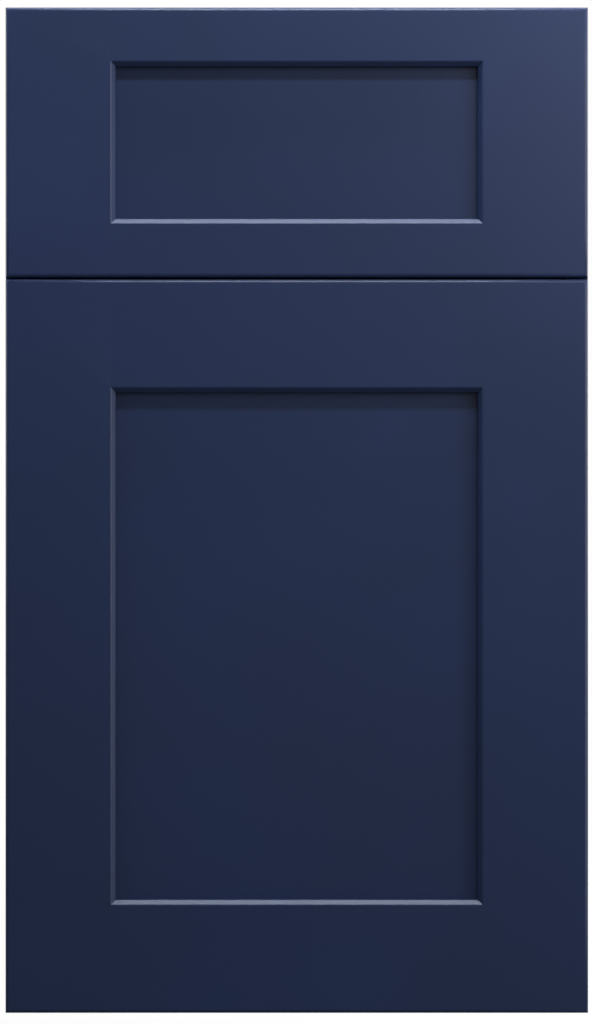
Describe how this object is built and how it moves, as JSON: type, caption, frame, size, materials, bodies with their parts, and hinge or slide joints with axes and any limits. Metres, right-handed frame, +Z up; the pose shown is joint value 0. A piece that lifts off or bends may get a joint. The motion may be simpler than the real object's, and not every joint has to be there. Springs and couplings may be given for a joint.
{
  "type": "bathroom vanity cabinet",
  "caption": "Slim wall-hung bathroom vanity cabinet with a drawer above a side-hung door, both with framed recessed-panel fronts, and an open top for a basin.",
  "frame": {"origin": "on the wall plane, midway between the two screw holes of the wall rail", "axes": "+Y into the wall, so the fronts face -Y; +Z up; +X to the right seen from the room"},
  "size_m": [0.406, 0.457, 0.7],
  "materials": {
    "navy_lacquer": "satin",
    "birch_ply": "clear satin",
    "maple_interior": "clear satin",
    "beech": "clear satin",
    "maple_solid": "clear satin",
    "navy_edge_band": "satin",
    "zinc_steel": "zinc plated",
    "nickel_steel": "nickel plated",
    "die_cast_zinc": "die cast",
    "hanger_plastic": "matt",
    "soft_bumper": "soft"
  },
  "bodies": {
    "case": {"side_left": "navy_lacquer", "side_right": "navy_lacquer", "bottom_panel": "maple_interior", "top_front_rail": "maple_interior", "top_rear_rail": "maple_interior", "divider_rail": "maple_interior", "back_panel": "maple_interior", "shelf": "maple_interior", "lower_wall_brace": "birch_ply", "edge_bands": "navy_edge_band", "dowels": "beech", "cam_bolts": "zinc_steel", "shelf_pins": "zinc_steel", "wall_rail": "zinc_steel", "hanger_hooks": "zinc_steel", "hanger_screws": "zinc_steel", "slide_outer_left": "zinc_steel", "slide_outer_right": "zinc_steel", "slide_outer_screws": "zinc_steel", "cam_locks": "die_cast_zinc", "hanger_left": "hanger_plastic", "hanger_right": "hanger_plastic", "hinge_upper_arm": "nickel_steel", "hinge_lower_arm": "nickel_steel", "hinge_upper_plate": "nickel_steel", "hinge_lower_plate": "nickel_steel", "hinge_plate_screws": "nickel_steel"},
    "slide_middles": {"slide_middle_left": "zinc_steel", "slide_middle_right": "zinc_steel"},
    "slide_outer_ball_cages": {"slide_outer_cages": "zinc_steel"},
    "slide_inner_ball_cages": {"slide_inner_cages": "zinc_steel"},
    "drawer": {"drawer_front_left_stile": "navy_lacquer", "drawer_front_right_stile": "navy_lacquer", "drawer_front_top_rail": "navy_lacquer", "drawer_front_bottom_rail": "navy_lacquer", "drawer_front_panel": "navy_lacquer", "drawer_box_front": "maple_solid", "drawer_side_left": "maple_solid", "drawer_side_right": "maple_solid", "drawer_back_left": "maple_solid", "drawer_back_right": "maple_solid", "drawer_well_left": "maple_solid", "drawer_well_right": "maple_solid", "drawer_well_front": "maple_solid", "drawer_bottom": "birch_ply", "slide_inner_left": "zinc_steel", "slide_inner_right": "zinc_steel", "slide_inner_screws": "zinc_steel", "drawer_front_screws": "zinc_steel", "drawer_bumpers": "soft_bumper"},
    "door": {"door_hinge_stile": "navy_lacquer", "door_free_stile": "navy_lacquer", "door_top_rail": "navy_lacquer", "door_bottom_rail": "navy_lacquer", "door_panel": "navy_lacquer", "hinge_upper_cup": "nickel_steel", "hinge_lower_cup": "nickel_steel", "hinge_pins": "nickel_steel", "hinge_cup_screws": "nickel_steel", "door_bumpers": "soft_bumper"}
  },
  "joints": [
    {"name": "drawer_slide", "type": "slide", "parent": "case", "child": "drawer", "axis": [0, -1, 0], "range_m": [0, 0.35]},
    {"name": "slide_middle_travel", "type": "slide", "parent": "case", "child": "slide_middles", "axis": [0, -1, 0], "range_m": [0, 0.175]},
    {"name": "outer_cage_travel", "type": "slide", "parent": "case", "child": "slide_outer_ball_cages", "axis": [0, -1, 0], "range_m": [0, 0.0875]},
    {"name": "inner_cage_travel", "type": "slide", "parent": "case", "child": "slide_inner_ball_cages", "axis": [0, -1, 0], "range_m": [0, 0.2625]},
    {"name": "door_swing", "type": "hinge", "parent": "case", "child": "door", "pos_m": [-0.1939, -0.4465, -0.232], "axis": [0, 0, -1], "range_deg": [0, 95]}
  ],
  "couplings": [
    {"joint": "slide_middle_travel", "follows": "drawer_slide", "ratio": 0.5},
    {"joint": "outer_cage_travel", "follows": "drawer_slide", "ratio": 0.25},
    {"joint": "inner_cage_travel", "follows": "drawer_slide", "ratio": 0.75}
  ]
}
